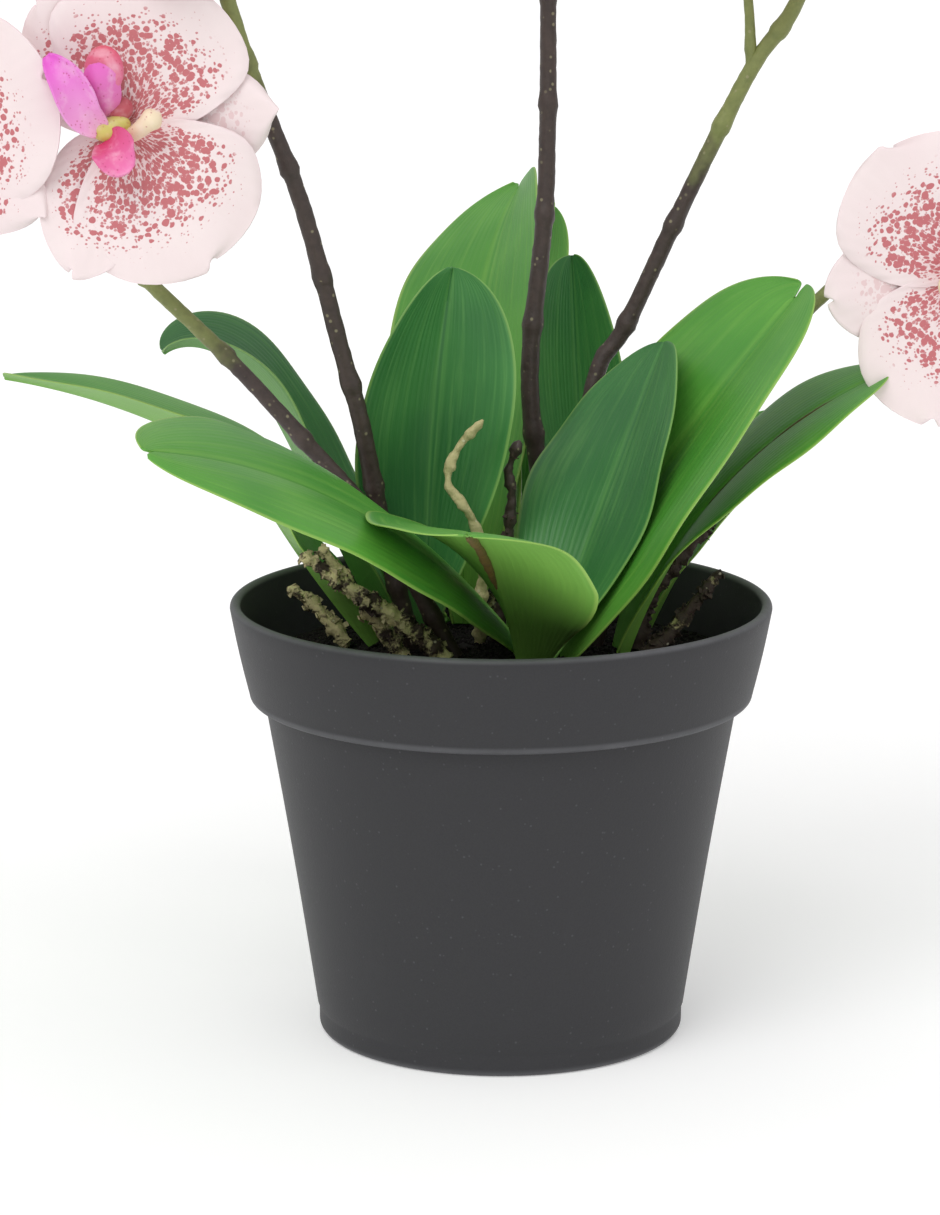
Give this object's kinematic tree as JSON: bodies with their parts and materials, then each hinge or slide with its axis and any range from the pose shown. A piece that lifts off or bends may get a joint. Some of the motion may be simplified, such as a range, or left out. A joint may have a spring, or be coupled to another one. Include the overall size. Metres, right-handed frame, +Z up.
{
  "type": "potted orchid",
  "caption": "Flowering orchid in a tapered round pot, with strap leaves, aerial roots and tall arching spikes of spotted pink blossoms",
  "frame": {"origin": "centre of the pot's flat base, on the surface it stands on", "axes": "+Z up along the pot's axis, -Y the front that the low arching leaf leans to, +X right seen from the front"},
  "size_m": [0.4066, 0.255, 0.5399],
  "materials": {
    "pot": "charcoal moulded plastic, matte with a fine speckle, rubbed paler on the rim",
    "soil": "loose black potting granules",
    "leaf_light": "satin light green leaf with a pale yellow-green edge",
    "leaf_dark": "satin deep green leaf with a pale yellow-green edge",
    "stem": "dark brown bark, olive green towards the flowers, with fine pale flecks",
    "root": "cream papery root skin, flaking over brown",
    "petal": "pale pink petal with rose red spots, denser towards the centre",
    "lip": "magenta lip with a yellow-green throat",
    "bud": "closed bud, pale green flushed with rose"
  },
  "bodies": {
    "root": {"bud_1": "bud", "bud_2": "bud", "bud_3": "bud", "bud_4": "bud", "flower_01": "petal", "flower_01_lip": "lip", "flower_02": "petal", "flower_02_lip": "lip", "flower_03": "petal", "flower_03_lip": "lip", "flower_04": "petal", "flower_04_lip": "lip", "flower_05": "petal", "flower_05_lip": "lip", "flower_06": "petal", "flower_06_lip": "lip", "flower_07": "petal", "flower_07_lip": "lip", "flower_08": "petal", "flower_08_lip": "lip", "flower_09": "petal", "flower_09_lip": "lip", "flower_10": "petal", "flower_10_lip": "lip", "flower_11": "petal", "flower_11_lip": "lip", "flower_12": "petal", "flower_12_lip": "lip", "flower_13": "petal", "flower_13_lip": "lip", "flower_14": "petal", "flower_14_lip": "lip", "leaf_back_narrow": "leaf_light", "leaf_back_small": "leaf_dark", "leaf_back_tall": "leaf_light", "leaf_front": "leaf_light", "leaf_left_curled": "leaf_dark", "leaf_left_far": "leaf_light", "leaf_left_low": "leaf_light", "leaf_left_under": "leaf_light", "leaf_mid_dark": "leaf_dark", "leaf_right_broad": "leaf_light", "leaf_right_dark": "leaf_dark", "leaf_right_inner": "leaf_light", "leaf_right_low": "leaf_light", "pot": "pot", "root_behind": "root", "root_left_1": "root", "root_left_2": "root", "root_left_3": "root", "root_right_1": "root", "root_right_2": "root", "root_upright": "root", "short_shoot": "stem", "soil": "soil", "spike_left": "stem", "spike_left_tall": "stem", "spike_middle": "stem", "spike_right": "stem", "spike_right_tall": "stem"}
  },
  "joints": []
}
